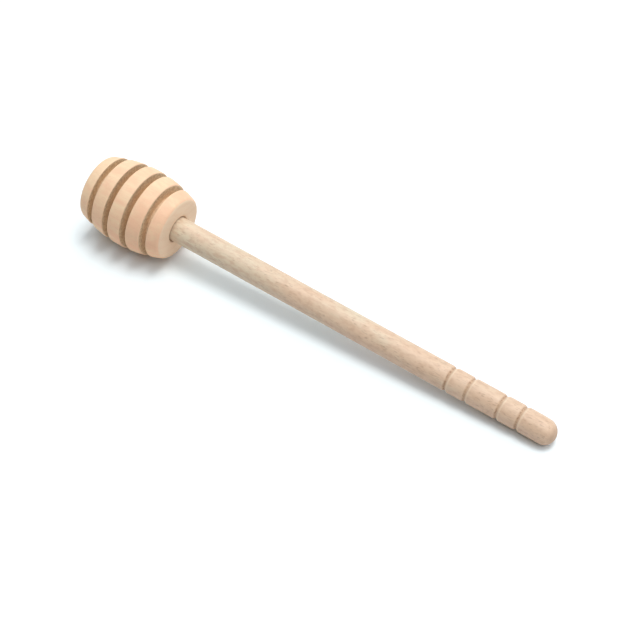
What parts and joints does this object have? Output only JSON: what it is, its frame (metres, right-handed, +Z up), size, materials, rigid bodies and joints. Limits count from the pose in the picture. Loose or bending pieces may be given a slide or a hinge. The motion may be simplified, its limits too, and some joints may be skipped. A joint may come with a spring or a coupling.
{
  "type": "honey dipper",
  "caption": "Wooden honey dipper: a turned barrel head with square grooves that hold honey, glued on a slim dowel handle with scored rings near its rounded butt.",
  "frame": {"origin": "on the table under the middle of the dipper as it lies", "axes": "+X along the table from the head to the butt, +Z up; the dipper's own axis drops 3.6 degrees towards the butt, because it lies on its fattest ring and its butt"},
  "size_m": [0.1713, 0.027, 0.0271],
  "materials": {
    "head_wood": "bare turned beech, sanded, with darker end grain in the grooves and on the flat ends",
    "handle_wood": "bare beech dowel, sanded, with fine brown flecks along the grain",
    "wood_glue": "set wood glue, hidden in the joint"
  },
  "bodies": {
    "root": {"dipper_head": "head_wood", "handle": "handle_wood", "glue_film": "wood_glue"}
  },
  "joints": []
}
